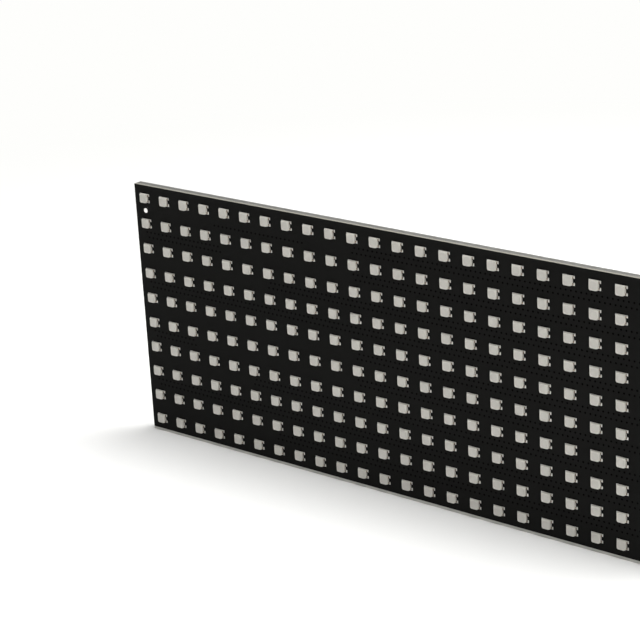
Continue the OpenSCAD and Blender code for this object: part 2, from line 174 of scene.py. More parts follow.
# ---------------------------------------------------------------- light
# A large soft box hangs overhead, and a weaker one stands at the front left, in an even white
# room. The camera sees the room as plain white, while it lights the panel only dimly.
world = bpy.data.worlds.new("white_room")
bpy.context.scene.world = world
bpy.context.scene.view_settings.view_transform = "Standard"
world.use_nodes = True
tree = world.node_tree
tree.nodes.clear()
rays = add(tree, "ShaderNodeLightPath")
direct = add(tree, "ShaderNodeMath", {
    0: rays.outputs["Is Camera Ray"], 1: rays.outputs["Is Transmission Ray"],
}, operation="MAXIMUM")
room = add(tree, "ShaderNodeBackground", {"Color": linear("#F6F6F8"), "Strength": 0.25})
white = add(tree, "ShaderNodeBackground", {"Color": linear("#FEFEFC"), "Strength": 1.0})
mixed = add(tree, "ShaderNodeMixShader", {0: direct.outputs[0], 1: room.outputs[0], 2: white.outputs[0]})
add(tree, "ShaderNodeOutputWorld", {"Surface": mixed.outputs[0]})

for name, place, size, power in (
    ("overhead_soft_box", (0.75, 0.3, 1.8), 1.7, 66.0),
    ("front_soft_box", (-0.6, -2.2, 0.9), 1.2, 7.0),
):
    lamp = bpy.data.lights.new(name, "AREA")
    lamp.shape = "SQUARE"
    lamp.size = size
    lamp.energy = power
    box = bpy.data.objects.new(name, lamp)
    bpy.context.scene.collection.objects.link(box)
    box.location = place
    box.rotation_euler = (-Vector(place)).to_track_quat("-Z", "Y").to_euler()


# ---------------------------------------------------------------- circuit board
# Glass-epoxy laminate, 1.6 mm thick, with black solder mask on both faces. The mask is sprayed
# and cured: a nearly matt black skin. The routed edges show the bare grey laminate and its plies.
def dress(finish, *names):
    """Gives a finish to nodes of the frame."""
    for name in names:
        mesh_object = nodes[name]
        if not mesh_object.material_slots:
            mesh_object.data.materials.append(finish)
        for slot in mesh_object.material_slots:
            slot.link = "OBJECT"
            slot.material = finish


# The yarns of the cloth below, some 0.6 mm apart, print through the mask and break its gloss, and
# its black drifts in clouds some 70 mm across.
mask, tree, shader = surface("black_solder_mask", Specular_IOR_Level=0.04)
at = add(tree, "ShaderNodeTexCoord").outputs["Object"]
cloth = add(tree, "ShaderNodeTexNoise", {"Vector": at, "Scale": 1000 / 0.625, "Detail": 2.0})
cloud = add(tree, "ShaderNodeTexNoise", {"Vector": at, "Scale": 1000 / 71.4, "Detail": 3.0})
skin = add(tree, "ShaderNodeMix", {
    "Factor": cloud.outputs["Fac"], "A": linear("#141413"), "B": linear("#1A1A19"),
}, data_type="RGBA")
# Bare laminate on the routed edges: plies of glass cloth 0.2 mm thick, seen end on. A light and a
# dark ply make one turn of the wave, which takes pi / 10 of a metre at a scale of 1.
ply_t = 0.0002
facing = add(tree, "ShaderNodeSeparateXYZ", {0: add(tree, "ShaderNodeNewGeometry").outputs["Normal"]})
sideways = add(tree, "ShaderNodeMath", {0: facing.outputs["Y"]}, operation="ABSOLUTE")
edge = add(tree, "ShaderNodeMath", {0: sideways.outputs[0], 1: 0.5}, operation="LESS_THAN")
ply = add(tree, "ShaderNodeTexWave", {
    "Vector": at, "Scale": math.pi / 20 / ply_t, "Distortion": 1.5, "Detail": 2.0, "Detail Scale": 0.4,
}, bands_direction="Y")
glass = add(tree, "ShaderNodeMix", {
    "Factor": ply.outputs["Fac"], "A": linear("#969489"), "B": linear("#888680"),
}, data_type="RGBA")
face = add(tree, "ShaderNodeMix", {
    "Factor": edge.outputs[0], "A": skin.outputs["Result"], "B": glass.outputs["Result"],
}, data_type="RGBA")
tree.links.new(face.outputs["Result"], shader.inputs["Base Color"])
dull = add(tree, "ShaderNodeMapRange", {"Value": cloth.outputs["Fac"], "To Min": 0.62, "To Max": 0.74})
tree.links.new(dull.outputs["Result"], shader.inputs["Roughness"])
relief = add(tree, "ShaderNodeMath", {0: cloth.outputs["Fac"], 1: 0.15}, operation="MULTIPLY")
sunk = add(tree, "ShaderNodeBump", {
    "Height": relief.outputs[0], "Strength": 0.5, "Distance": 0.00004,
}, invert=True)
tree.links.new(sunk.outputs["Normal"], shader.inputs["Normal"])
dress(mask, "circuit_board")


# ---------------------------------------------------------------- stiffening rails
# Extruded aluminium, sawn to length and clear anodised: a satin grey that keeps the fine lines
# of the die along each rail. The lower rail is an angle whose ledge carries the board.
def drawn_metal(name, dark, light, line_size, polished, dull):
    """A metal with the fine lines that the die or the lathe left. The size of a line is its length
    or spacing along each axis, in millimetres."""
    finish, tree, shader = surface(name, Metallic=1.0)
    at = add(tree, "ShaderNodeTexCoord").outputs["Object"]
    drawn = add(tree, "ShaderNodeMapping", {"Vector": at, "Scale": [1000 / size for size in line_size]})
    line = add(tree, "ShaderNodeTexNoise", {
        "Vector": drawn.outputs[0], "Scale": 1.0, "Detail": 4.0, "Roughness": 0.6,
    })
    cloud = add(tree, "ShaderNodeTexNoise", {"Vector": at, "Scale": 1000 / 25, "Detail": 2.0})
    tone = add(tree, "ShaderNodeMix", {
        "Factor": line.outputs["Fac"], "A": linear(dark), "B": linear(light),
    }, data_type="RGBA")
    tree.links.new(tone.outputs["Result"], shader.inputs["Base Color"])
    satin = add(tree, "ShaderNodeMapRange", {
        "Value": cloud.outputs["Fac"], "To Min": polished, "To Max": dull,
    })
    tree.links.new(satin.outputs["Result"], shader.inputs["Roughness"])
    groove = add(tree, "ShaderNodeBump", {
        "Height": line.outputs["Fac"], "Strength": 0.35, "Distance": 0.00005,
    })
    tree.links.new(groove.outputs["Normal"], shader.inputs["Normal"])
    return finish


# Die lines are finer than 0.1 mm. They are drawn 0.4 mm apart and some 60 mm long, so that they show.
rail_finish = {"dark": "#B4B3AE", "light": "#C6C5C0", "polished": 0.34, "dull": 0.48}
lengthwise = drawn_metal("anodised_aluminium_along", line_size=(62.5, 0.4, 0.4), **rail_finish)
upright = drawn_metal("anodised_aluminium_upright", line_size=(0.4, 0.4, 62.5), **rail_finish)
dress(lengthwise, "top_rail", "bottom_rail")
dress(upright, "left_end_rail", "right_end_rail", "left_crossbar", "right_crossbar")


# ---------------------------------------------------------------- LED housings
# Each LED is a square package moulded in white polyamide around its lead strips, 5 mm across,
# with one corner cut to mark it. Its walls lean in above the leads, its edges are slightly
# rounded, and a round cup for the light is left open in its face.
def on_rows(kind):
    """The nodes of one kind of LED part, one for each row, from the top row down."""
    return sorted(name for name in nodes if name.startswith(kind + "_row_"))


mm = 0.001
first, second = (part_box(name) for name in on_rows("housings")[:2])
package_w = (first[1][2] - first[0][2]) / mm
led_pitch = (first[0][2] - second[0][2]) / mm
columns = round((first[1][0] - first[0][0]) / mm / led_pitch + 0.5)
board_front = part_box("circuit_board")[0][1]
package_h = (board_front - first[0][1]) / mm
first_x = first[0][0] / mm + package_w / 2
# Gap under the walls, height up to which they are upright, how far they lean in above it, and how
# much the cut takes off both sides of the marked corner.
lead_t, waist, draft, marked_cut = 0.2, 0.8, 0.1, 0.9
# Radius of the corners, and how much rounder the lower left one is, where the gate was.
corner_r, gate_extra = 0.25, 0.6
# Radius of the cup at its mouth and at its floor, and its depth.
cup_mouth, cup_floor, cup_depth = 2.1, 1.7, 0.9


def row_mesh(name, points, faces, smooth):
    """A mesh that repeats one LED's part at every LED of a row. A point is across, out and up, in
    millimetres."""
    middles = [first_x + c * led_pitch for c in range(columns)]
    everywhere = [((middle + x) * mm, -out * mm, z * mm) for middle in middles for x, out, z in points]
    count = len(points)
    repeated = [tuple(i + c * count for i in face) for c in range(columns) for face in faces]
    return closed_mesh(name, everywhere, repeated, list(smooth) * columns)


def set_on_rows(kind, mesh, finish, stands_for):
    """Puts the same mesh on every row of the board."""
    mesh.materials.append(finish)
    for housing in on_rows("housings"):
        low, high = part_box(housing)
        piece = bpy.data.objects.new(kind + housing[len("housings"):], mesh)
        bpy.context.scene.collection.objects.link(piece)
        piece.location = (0.0, board_front, (low[2] + high[2]) / 2)
        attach(piece, "root")
        if stands_for:
            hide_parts(stands_for + housing[len("housings"):])


# Angles of the points of every outline, closest together at the four corners.
turn = [
    quarter + step for quarter in (0, 90, 180, 270)
    for step in (0, 22, 35, 38, 41, 43.5, 46.5, 49, 52, 55, 68)
]


def square_ring(half, small, out):
    """Outline of the package at one height: small corners, a rounder one at the lower left by the
    gate, and the lower right one cut."""
    ring = []
    for degrees in turn:
        c, s = math.cos(math.radians(degrees)), math.sin(math.radians(degrees))
        radius = small + gate_extra if c < 0 and s < 0 else small
        far = half / max(abs(c), abs(s))
        if min(abs(c), abs(s)) * far > half - radius:
            along = (half - radius) * (abs(c) + abs(s))
            far = along + math.sqrt(along * along - 2 * (half - radius) ** 2 + radius * radius)
        if c > 0 > s:
            far = min(far, (2 * half - marked_cut) / (c - s))
        ring.append((far * c, out, far * s))
    return ring


def round_ring(radius, out):
    """Outline of the cup at one height."""
    return [(radius * math.cos(math.radians(d)), out, radius * math.sin(math.radians(d))) for d in turn]


def loft(rings, soft):
    """Points and faces of rings joined one to the next, with a soft flag for each band."""
    n = len(rings[0])
    points = [p for ring in rings for p in ring]
    faces, smooth = [], []
    for band, flag in enumerate(soft):
        for i in range(n):
            a, b = band * n + i, band * n + (i + 1) % n
            faces.append((a, b, b + n, a + n))
            smooth.append(flag)
    return points, faces, smooth


half, rim = package_w / 2, package_w / 2 - draft
# From the foot of the wall up and over its rounded edge, across the rim and down into the cup.
points, faces, smooth = loft([
    square_ring(half - 0.04, corner_r - 0.03, lead_t), square_ring(half, corner_r, lead_t + 0.06),
    square_ring(half, corner_r, waist), square_ring(rim + 0.01, corner_r, package_h - 0.07),
    square_ring(rim - 0.02, corner_r - 0.02, package_h - 0.015),
    square_ring(rim - 0.06, corner_r - 0.05, package_h), round_ring(cup_mouth + 0.06, package_h),
    round_ring(cup_mouth, package_h - 0.03), round_ring(cup_floor, package_h - cup_depth),
], [True, False, False, True, True, False, True, True])
faces += [tuple(range(len(turn)))[::-1], tuple(range(len(points) - len(turn), len(points)))]
smooth += [False, False]
housing_mesh = row_mesh("led_housings", points, faces, smooth)

# White pigment makes the polyamide bright and matt. Its 0.01 mm glass fibres are drawn as 0.2 mm
# specks so that they show, and the white differs a little from one LED to the next.
polyamide, tree, shader = surface("moulded_white_polyamide", Specular_IOR_Level=0.4)
at = add(tree, "ShaderNodeTexCoord").outputs["Object"]
fibre = add(tree, "ShaderNodeTexNoise", {"Vector": at, "Scale": 1000 / 0.2, "Detail": 2.0})
batch = add(tree, "ShaderNodeTexNoise", {"Vector": at, "Scale": 1000 / 22.2, "Detail": 0.0})
white = add(tree, "ShaderNodeMix", {
    "Factor": batch.outputs["Fac"], "A": linear("#C8C5BC"), "B": linear("#D1CEC6"),
}, data_type="RGBA")
tree.links.new(white.outputs["Result"], shader.inputs["Base Color"])
matt = add(tree, "ShaderNodeMapRange", {"Value": fibre.outputs["Fac"], "To Min": 0.42, "To Max": 0.58})
tree.links.new(matt.outputs["Result"], shader.inputs["Roughness"])
rough = add(tree, "ShaderNodeBump", {"Height": fibre.outputs["Fac"], "Strength": 0.2, "Distance": 0.00001})
tree.links.new(rough.outputs["Normal"], shader.inputs["Normal"])
set_on_rows("led_housings", housing_mesh, polyamide, "housings")


# ---------------------------------------------------------------- inside the LEDs
# Four silver-plated ends of the lead strips show in the floor of each cup, with white moulding
# between them. Three dies are glued on them, and gold bond wires run from die to strip.
def prism(points, faces, one_end, other_end):
    """A closed solid between two outlines that have the same number of corners."""
    start, n = len(points), len(one_end)
    points.extend(one_end + other_end)
    faces.extend([tuple(range(start + n, start + 2 * n)), tuple(range(start, start + n))[::-1]])
    faces.extend((start + i, start + (i + 1) % n, start + n + (i + 1) % n, start + n + i) for i in range(n))


def plate(points, faces, outline, low, high):
    """A flat plate with this outline of (across, up) corners, from one height to another."""
    prism(points, faces, [(x, low, z) for x, z in outline], [(x, high, z) for x, z in outline])


# Half the gap between the strips and radius of their outer ends, height of the strips and the dies
# above the cup's floor, and radius of the wires.
floor_out = package_h - cup_depth
half_gap, strip_r = 0.17, cup_floor - 0.03
strip_top, die_top, wire_r = 0.03, 0.15, 0.02
points, faces = [], []
for quarter, (sx, sz) in enumerate(((1, 1), (-1, 1), (-1, -1), (1, -1))):
    arc = [math.radians(quarter * 90 + 7 + 76 * step / 6) for step in range(7)]
    outline = [(half_gap * sx, half_gap * sz)]
    outline += [(strip_r * math.cos(a), strip_r * math.sin(a)) for a in arc]
    plate(points, faces, outline, floor_out, floor_out + strip_top)
strips = len(faces)

# Middle, width and height of each die.
for x, z, w, h in ((-0.55, 0.62, 0.3, 0.3), (0.0, -0.7, 0.36, 0.26), (0.6, 0.62, 0.36, 0.26)):
    low, high = z - h / 2, z + h / 2
    outline = [(x - w / 2, low), (x + w / 2, low), (x + w / 2, high), (x - w / 2, high)]
    plate(points, faces, outline, floor_out + strip_top, floor_out + die_top)
dies = len(faces)
smooth = [False] * dies


def bond_wire(start, end, low, high):
    """A three-sided gold wire that rises from a die and comes down on a strip."""
    ring_count, loop_h = 6, 0.22
    base = len(points)
    run = Vector((end[0] - start[0], end[1] - start[1])).normalized()
    for step in range(ring_count):
        t = step / (ring_count - 1)
        x, z = start[0] + (end[0] - start[0]) * t, start[1] + (end[1] - start[1]) * t
        out = high + (low - high) * t + loop_h * math.sin(math.pi * t ** 0.6)
        for side in range(3):
            angle = 2 * math.pi * side / 3
            across, rise = wire_r * math.cos(angle), wire_r * math.sin(angle)
            points.append((x - run.y * across, out + rise, z + run.x * across))
    for step in range(ring_count - 1):
        for side in range(3):
            a, b = base + step * 3 + side, base + step * 3 + (side + 1) % 3
            faces.append((a, b, b + 3, a + 3))
            smooth.append(True)
    last = len(points) - 3
    faces.extend([(base, base + 1, base + 2), (last, last + 1, last + 2)])
    smooth.extend([False, False])


for start, end in (
    ((-0.55, 0.66), (-1.2, 0.35)), ((-0.1, -0.7), (-0.75, -0.45)), ((0.1, -0.7), (0.75, -0.4)),
    ((0.5, 0.62), (0.3, 1.25)), ((0.7, 0.62), (1.25, 0.35)),
):
    bond_wire(start, end, floor_out + strip_top + 0.01, floor_out + die_top + 0.01)
inside_mesh = row_mesh("led_dies", points, faces, smooth)

# Rolled silver plate is bright, with faint clouds drawn 0.33 mm across. The dies are dark and
# glassy, and the wires are plain drawn gold.
silver, tree, shader = surface("silver_plated_strip", Metallic=1.0, Roughness=0.28)
at = add(tree, "ShaderNodeTexCoord").outputs["Object"]
rolled = add(tree, "ShaderNodeTexNoise", {"Vector": at, "Scale": 1000 / 0.33, "Detail": 1.0})
tone = add(tree, "ShaderNodeMix", {
    "Factor": rolled.outputs["Fac"], "A": linear("#D2CFC6"), "B": linear("#E4E2DB"),
}, data_type="RGBA")
tree.links.new(tone.outputs["Result"], shader.inputs["Base Color"])
die, tree, shader = surface("sapphire_die", Base_Color=linear("#6B7A7C"), Roughness=0.15)
gold, tree, shader = surface("gold_bond_wire", Base_Color=linear("#E2BC62"), Metallic=1.0, Roughness=0.25)
set_on_rows("led_dies", inside_mesh, silver, None)
inside_mesh.materials.append(die)
inside_mesh.materials.append(gold)
each = [0] * strips + [1] * (dies - strips) + [2] * (len(faces) - dies)
inside_mesh.polygons.foreach_set("material_index", each * columns)


# ---------------------------------------------------------------- LED resin
# Slightly milky casting resin fills each cup almost to its rim. Surface tension leaves it a
# little hollow in the middle, and it is glossy and lets the dies show faintly.
points, faces, smooth = loft([
    round_ring(cup_floor - 0.02, floor_out + 0.035),
    round_ring(cup_mouth - 0.02, package_h - 0.03), round_ring(cup_mouth - 0.16, package_h - 0.09),
    round_ring(cup_mouth - 0.45, package_h - 0.15), round_ring(cup_mouth - 0.95, package_h - 0.19),
    round_ring(0.4, package_h - 0.2),
], [False, True, True, True, True])
faces += [tuple(range(len(turn)))[::-1], tuple(range(len(points) - len(turn), len(points)))]
smooth += [False, True]
resin_mesh = row_mesh("led_resin", points, faces, smooth)
# A diffuser powder makes the resin milky. Its gloss wavers over some 2 mm.
resin, tree, shader = surface(
    "milky_casting_resin", Base_Color=linear("#CFCCC4"), Roughness=0.3, IOR=1.52, Alpha=0.88,
)
at = add(tree, "ShaderNodeTexCoord").outputs["Object"]
ripple = add(tree, "ShaderNodeTexNoise", {"Vector": at, "Scale": 1000 / 2, "Detail": 1.0})
wavy = add(tree, "ShaderNodeBump", {"Height": ripple.outputs["Fac"], "Strength": 0.1, "Distance": 0.00005})
tree.links.new(wavy.outputs["Normal"], shader.inputs["Normal"])
set_on_rows("led_resin", resin_mesh, resin, "lenses")


# ---------------------------------------------------------------- LED leads
# Tinned copper strip comes out of each housing's wall in four places, is bent down and under,
# and stands in bright reflowed solder on a tinned pad of the board.
lead_w, lead_spacing, lead_foot = 1.2, 3.1, 1.0
# Thickness and width of a pad, its shift outwards, and how high the solder climbs at the strip.
pad_t, pad_w, pad_outward, solder_climb = 0.05, 1.45, 0.15, 0.1
leads_low, leads_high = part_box(on_rows("leads")[0])
solder_reach = (leads_high[0] - leads_low[0]) / mm / 2 - (columns - 1) * led_pitch / 2 - half - lead_t
outside = half + lead_t
# One bent strip seen from its side, as (across, out), from the inner end of its foot.
strip = [
    (half - lead_foot, lead_t), (half - lead_foot, 0.02),
    (outside - 0.14, 0.02), (outside - 0.04, 0.06), (outside, 0.17),
    (outside, waist - 0.16), (outside - 0.04, waist - 0.05), (outside - 0.14, waist),
    (half - 0.02, waist), (half - 0.02, lead_t),
]
strip_half = lead_w / 2 - 0.04
one_points, one_faces = [], []
prism(one_points, one_faces, *([(x, out, z) for x, out in strip] for z in (-strip_half, strip_half)))
one_smooth = [False, False] + [2 <= i <= 7 for i in range(len(strip))]
strip_faces = len(one_faces)
# The solder's top: steep against the strip, hollow below it, thin at its toe and its sides.
rows_down, rows_across = 7, 8
start = len(one_points)
for i in range(rows_down + 1):
    s = i / rows_down
    for j in range(rows_across + 1):
        t = 2 * j / rows_across - 1
        crown = (1 - abs(t) ** 3.5) * (1 - 0.25 * s)
        climb = (1 - s) ** 2.6 * solder_climb
        swell = 0.06 * (1 - s ** 5)
        spread = pad_w / 2 * (0.92 + 0.06 * math.sin(math.pi * s))
        out = pad_t + crown * (climb + swell)
        one_points.append((outside - 0.01 + solder_reach * s, out, t * spread + pad_outward))
for i in range(rows_down):
    for j in range(rows_across):
        a = start + i * (rows_across + 1) + j
        one_faces.append((a, a + 1, a + rows_across + 2, a + rows_across + 1))
        one_smooth.append(True)
heel = [start + j for j in range(rows_across + 1)]
toe = [start + rows_down * (rows_across + 1) + j for j in range(rows_across + 1)]
right_side = [start + i * (rows_across + 1) + rows_across for i in range(1, rows_down)]
left_side = [start + i * (rows_across + 1) for i in range(1, rows_down)]
one_faces += [tuple(heel), tuple([heel[0], heel[-1]] + right_side + toe[::-1] + left_side[::-1])]
one_smooth += [False, False]
# The pad under it, from below the housing to the solder's toe.
across = (half - lead_foot, outside + solder_reach)
up = (pad_outward - pad_w / 2, pad_outward + pad_w / 2)
pad = [(across[0], up[0]), (across[1], up[0]), (across[1], up[1]), (across[0], up[1])]
plate(one_points, one_faces, pad, 0.0, pad_t)
one_smooth += [False] * 6
# Four leads, two on each side of the package.
points, faces, smooth = [], [], []
for turned in (1, -1):
    for side in (-1, 1):
        start = len(points)
        points.extend((turned * x, out, turned * side * (z + lead_spacing / 2)) for x, out, z in one_points)
        faces.extend(tuple(start + i for i in face[::side]) for face in one_faces)
        smooth.extend(one_smooth)
lead_mesh = row_mesh("led_leads", points, faces, smooth)

# Reflowed solder freezes in grains of 0.1 mm, drawn at 0.45 mm so that they show: a bright metal
# that is slightly frosted.
tin, tree, shader = surface("reflowed_tin", Metallic=1.0)
at = add(tree, "ShaderNodeTexCoord").outputs["Object"]
grain = add(tree, "ShaderNodeTexNoise", {"Vector": at, "Scale": 1000 / 0.45, "Detail": 3.0})
tone = add(tree, "ShaderNodeMix", {
    "Factor": grain.outputs["Fac"], "A": linear("#C2C1BD"), "B": linear("#D8D7D3"),
}, data_type="RGBA")
tree.links.new(tone.outputs["Result"], shader.inputs["Base Color"])
bright = add(tree, "ShaderNodeMapRange", {"Value": grain.outputs["Fac"], "To Min": 0.3, "To Max": 0.46})
tree.links.new(bright.outputs["Result"], shader.inputs["Roughness"])
frosty = add(tree, "ShaderNodeBump", {
    "Height": grain.outputs["Fac"], "Strength": 0.12, "Distance": 0.00002,
})
tree.links.new(frosty.outputs["Normal"], shader.inputs["Normal"])
set_on_rows("led_leads", lead_mesh, tin, "leads")
dress(tin, "driver_chip_leads", "logic_chip_leads", "terminal_feet")


def bright_metal(name, dark, light, polished, dull):
    """A smooth plated metal with faint clouds in its tone and its gloss, some 1 mm across."""
    finish, tree, shader = surface(name, Metallic=1.0)
    at = add(tree, "ShaderNodeTexCoord").outputs["Object"]
    cloud = add(tree, "ShaderNodeTexNoise", {"Vector": at, "Scale": 1000 / 1.1, "Detail": 3.0})
    tone = add(tree, "ShaderNodeMix", {
        "Factor": cloud.outputs["Fac"], "A": linear(dark), "B": linear(light),
    }, data_type="RGBA")
    tree.links.new(tone.outputs["Result"], shader.inputs["Base Color"])
    gloss = add(tree, "ShaderNodeMapRange", {
        "Value": cloud.outputs["Fac"], "To Min": polished, "To Max": dull,
    })
    tree.links.new(gloss.outputs["Result"], shader.inputs["Roughness"])
    return finish


# The bent part of each strip stays smooth and mirrors the dark board. Its brownish grey, darker than
# the tin, is painted shade for the recess under the housing's wall.
lead_mesh.materials.append(bright_metal("rolled_tinned_strip", "#9C8C79", "#AD9E8C", 0.08, 0.16))
one_lead = [1] * strip_faces + [0] * (len(one_faces) - strip_faces)
lead_mesh.polygons.foreach_set("material_index", one_lead * 4 * columns)
# The alignment dots are bare pads, levelled with bright tin.
dress(bright_metal("levelled_tin", "#EFEEEA", "#F8F7F4", 0.05, 0.1), "alignment_dots")


# ---------------------------------------------------------------- fixings behind the board
# Tinned brass nuts are soldered to the board. Zinc-plated steel screws with cross recesses hold
# the rails to them, and four hexagonal spacers of turned brass carry the panel.
dress(bright_metal("tinned_brass", "#B9B4A4", "#CBC7BA", 0.2, 0.34), "board_nuts")
zinc = bright_metal("zinc_plated_steel", "#A9ABAC", "#C3C5C6", 0.22, 0.36)
dress(zinc, "rail_screws", "terminal_screws")
# Lathe lines about 0.3 mm apart run round each spacer.
dress(drawn_metal("turned_brass", "#B79A5C", "#CBB174", (16.7, 0.3, 16.7), 0.24, 0.36), "mounting_spacers")


# ---------------------------------------------------------------- tracks on the back
# Copper tracks lie under the black mask and lift it by their thickness. They join the chips to
# the vias, the headers to the buffers, and the power terminal to its capacitors.
board_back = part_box("circuit_board")[1][1] / mm


def loose_boxes(name):
    """The box of each separate solid of a node, in millimetres, from left to right and upwards."""
    mesh = nodes[name].data
    corner = [tuple(round(v / mm, 3) for v in vertex.co) for vertex in mesh.vertices]
    joined = {}

    def root(key):
        while joined.setdefault(key, key) != key:
            key = joined[key]
        return key

    for polygon in mesh.polygons:
        keys = [root(corner[i]) for i in polygon.vertices]
        for key in keys[1:]:
            joined[root(key)] = root(keys[0])
    groups = {}
    for key in set(corner):
        groups.setdefault(root(key), []).append(key)
    boxes = [tuple((min(axis), max(axis)) for axis in zip(*group)) for group in groups.values()]
    return sorted(boxes, key=lambda box: (round(box[0][0], 1), round(box[2][0], 1)))


def finished_piece(name, points, faces, slot, *finishes, smooth=False, stands_for=None):
    """A piece in the part's own frame, given in millimetres, that rides on the panel."""
    piece = mesh_piece(name, [tuple(v * mm for v in p) for p in points], faces, smooth)
    for finish in finishes:
        piece.data.materials.append(finish)
    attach(piece, "root")
    if stands_for:
        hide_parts(stands_for)
    return piece


def ribbon(points, faces, route, width, low, high):
    """A flat line along a route of (across, up) corners, mitred where it turns, with sloping sides."""
    route = [
        spot for i, spot in enumerate(route)
        if i == 0 or (Vector(spot) - Vector(route[i - 1])).length > 1e-6
    ]
    start = len(points)
    for i, (x, z) in enumerate(route):
        before = Vector(route[max(i - 1, 0)])
        after = Vector(route[min(i + 1, len(route) - 1)])
        here = Vector((x, z))
        ways = [w.normalized() for w in (here - before, after - here) if w.length > 1e-6]
        mean = sum(ways, Vector((0.0, 0.0))).normalized()
        side = Vector((-mean.y, mean.x)) * width / 2 / max(0.5, mean.dot(ways[0]))
        for offset, out in ((1.15, low), (0.9, high), (-0.9, high), (-1.15, low)):
            points.append((x + side.x * offset, out, z + side.y * offset))
    for i in range(len(route) - 1):
        a, b = start + 4 * i, start + 4 * i + 4
        faces.extend((a + k, a + (k + 1) % 4, b + (k + 1) % 4, b + k) for k in range(4))
    end = start + 4 * (len(route) - 1)
    faces.extend([(start + 3, start + 2, start + 1, start), (end, end + 1, end + 2, end + 3)])


def eyelet(points, faces, x, z, outer, inner, low, high):
    """A flat annular ring of copper round one hole."""
    start, sides = len(points), 12
    for radius, out in ((outer, low), (outer * 0.94, high), (inner, high), (inner * 0.9, low)):
        turns = [2 * math.pi * i / sides for i in range(sides)]
        points.extend((x + radius * math.cos(a), out, z + radius * math.sin(a)) for a in turns)
    for band in range(4):
        this, other = start + band * sides, start + (band + 1) % 4 * sides
        for i in range(sides):
            j = (i + 1) % sides
            faces.append((this + i, this + j, other + j, other + i))


copper_t, track_w, bus_w, supply_w = 0.04, 0.25, 0.3, 2.6
eyelet_r, eyelet_hole, chip_half_w = 0.38, 0.16, 6.2
points, faces = [], []
low, high = board_back - 0.01, board_back + copper_t
# How far the tracks of each kind of chip fan out, and how long their last straight part is.
for name, fan, length in (("driver_chip_leads", 0.55, 4.2), ("logic_chip_leads", 0.35, 2.4)):
    leads_here = loose_boxes(name)
    middles = {round((z0 + z1) / 2, 1) for _, _, (z0, z1) in leads_here}
    centre = sum(middles) / len(middles)
    for (x0, x1), _, (z0, z1) in leads_here:
        x, z = (x0 + x1) / 2, (z0 + z1) / 2
        way = 1 if z > centre else -1
        tip = z1 if way > 0 else z0
        near = [
            b for b in leads_here
            if abs((b[0][0] + b[0][1]) / 2 - x) < chip_half_w and (b[2][0] > centre) == (z0 > centre)
        ]
        chip_x = sum((b[0][0] + b[0][1]) / 2 for b in near) / len(near)
        side = (x - chip_x) * fan
        # Every second track of a chip is 0.9 mm longer, so that the eyelets clear one another.
        far = length + (round((x - chip_x) * 2) % 2) * 0.9
        bend = tip + way * (0.7 + abs(side))
        end = bend + way * far
        route = [(x, tip - way * 0.3), (x, tip + way * 0.7), (x + side, bend), (x + side, end)]
        ribbon(points, faces, route, track_w, low, high)
        eyelet(points, faces, x + side, end + way * 0.3, eyelet_r, eyelet_hole, low, high + 0.01)
# Eight parallel lines lead from each header to its buffer, with a turn of 45 degrees.
pin_pitch = 2.54
for name, way in (("data_out_block", -1), ("data_in_block", 1)):
    (bx0, bx1), _, (bz0, bz1) = loose_boxes(name)[0]
    for i in range(8):
        x = (bx0 if way < 0 else bx1) + way * (pin_pitch + 0.2)
        z = (bz0 + bz1) / 2 + pin_pitch * (i - 3.5)
        knee = x + way * (3.0 + 0.7 * i)
        end = knee + way * (2.0 + (13.0 + 0.7 * i) * 0.3)
        route = [(x, z), (knee, z), (knee + way * 2.0, z - 2.0), (end, z - 2.0)]
        ribbon(points, faces, route, bus_w, low, high)
        eyelet(points, faces, end + way * 0.3, z - 2.0, 0.4, eyelet_hole, low, high + 0.01)
# Wide supply copper joins the terminal to the capacitor cans beside it.
tz = sum(loose_boxes("power_terminal")[0][2]) / 2
for side in (-1, 1):
    for route in (
        ((3.0, 7.5), (14.0, 7.5), (16.5, 5.0), (31.0, 5.0), (35.0, 9.0), (48.0, 9.0)),
        ((3.0, -7.0), (14.0, -7.0), (16.5, -9.5), (48.0, -9.5)),
    ):
        ribbon(points, faces, [(side * x, tz + z) for x, z in route], supply_w, low, high)
# Over copper the mask is smoother and a little glossier, with the same 0.6 mm print of the cloth.
covered, tree, shader = surface("mask_over_copper", Base_Color=linear("#131413"), Specular_IOR_Level=0.3)
at = add(tree, "ShaderNodeTexCoord").outputs["Object"]
skin = add(tree, "ShaderNodeTexNoise", {"Vector": at, "Scale": 1000 / 0.625, "Detail": 2.0})
gloss = add(tree, "ShaderNodeMapRange", {"Value": skin.outputs["Fac"], "To Min": 0.4, "To Max": 0.55})
tree.links.new(gloss.outputs["Result"], shader.inputs["Roughness"])
finished_piece("back_tracks", points, faces, "black_solder_mask", covered)


# ---------------------------------------------------------------- plated vias
# Small plated holes carry each signal from the LED side to the tracks. They are drilled in two
# staggered lines under each row of LEDs, in blocks, and the mask sinks into them. Each is drawn as
# a flat near-black disc without gloss: painted shade in place of the sunk mask's hollow.
hollow, tree, shader = surface("mask_sunk_in_holes", Specular_IOR_Level=0.0, Roughness=0.9)
at = add(tree, "ShaderNodeTexCoord").outputs["Object"]
depth = add(tree, "ShaderNodeTexNoise", {"Vector": at, "Scale": 1000 / 0.625, "Detail": 2.0})
tone = add(tree, "ShaderNodeMix", {
    "Factor": depth.outputs["Fac"], "A": linear("#010101"), "B": linear("#040404"),
}, data_type="RGBA")
tree.links.new(tone.outputs["Result"], shader.inputs["Base Color"])
# Radius with the sunk mask round it, spacing along a line, shift of all lines to the left, and
# how far the disc of painted shade stands out of the board.
via_r, via_step, via_shift, via_film = 0.5, 2.8, -0.3, 0.006
via_turns = [2 * math.pi * step / 12 for step in range(12)]
# How far the two lines lie below the middle of their row of LEDs.
line_drops = (5.0, 7.8)
board_end = columns - 0.6
